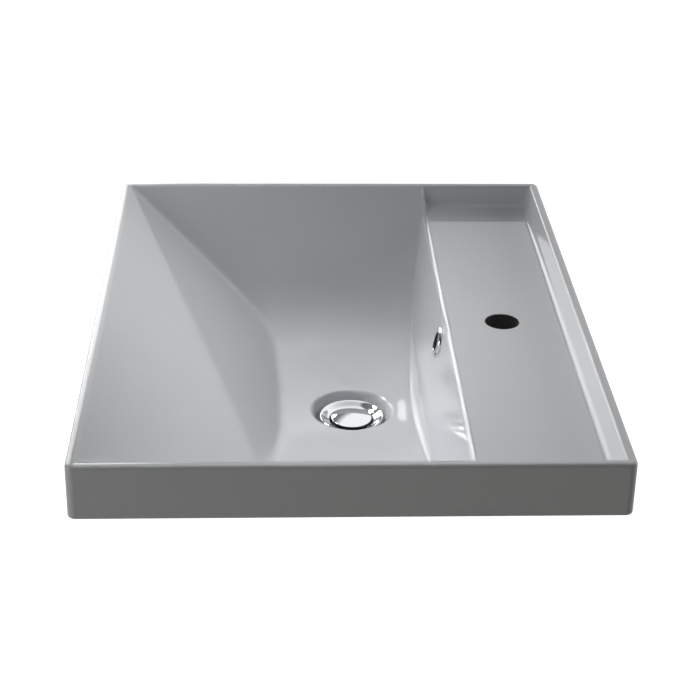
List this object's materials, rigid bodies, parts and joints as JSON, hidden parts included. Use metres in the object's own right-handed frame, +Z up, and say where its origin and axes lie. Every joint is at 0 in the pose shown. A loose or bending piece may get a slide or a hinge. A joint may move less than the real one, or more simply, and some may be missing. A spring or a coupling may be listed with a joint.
{
  "type": "wall-hung basin",
  "caption": "Rectangular wall-hung ceramic basin with a thin rim, a tap deck, a sloped bowl, an overflow ring and a push-down waste plug.",
  "frame": {"origin": "on the wall face, midway between the two wall fixing holes", "axes": "+X along the wall, +Y into the wall, +Z up; the bowl reaches out to -Y"},
  "size_m": [0.61, 0.46, 0.2025],
  "materials": {
    "ceramic": "glazed, glossy",
    "chrome": "polished",
    "brass": "turned",
    "rubber": "matt",
    "washer_plastic": "moulded",
    "cartridge_plastic": "moulded",
    "plunger_plastic": "moulded",
    "cam_plastic": "moulded",
    "spring_wire": "drawn wire"
  },
  "bodies": {
    "basin": {"basin": "ceramic", "overflow_ring": "chrome", "overflow_seal": "rubber", "waste_body": "chrome", "flange_gasket": "rubber", "cartridge_body": "cartridge_plastic", "cartridge_cap": "cartridge_plastic", "cartridge_nut": "brass", "click_spring": "spring_wire", "cone_gasket": "rubber", "slip_washer": "washer_plastic", "back_nut": "brass"},
    "plug": {"plug_cap": "chrome", "plug_seal": "rubber", "plug_stem": "brass", "stem_nut": "brass", "click_plunger": "plunger_plastic"},
    "cam": {"click_cam": "cam_plastic"}
  },
  "joints": [
    {"name": "plug_slide", "type": "slide", "parent": "basin", "child": "plug", "axis": [0, 0, 1], "range_m": [0, 0.007], "deforming": ["click_spring"]},
    {"name": "cam_turn", "type": "hinge", "parent": "plug", "child": "cam", "pos_m": [0, -0.217, -0.079], "axis": [0, 0, 1], "range_deg": [0, 23]}
  ],
  "couplings": [
    {"joint": "cam_turn", "follows": "plug_slide", "rad_per_m": 56.1}
  ]
}
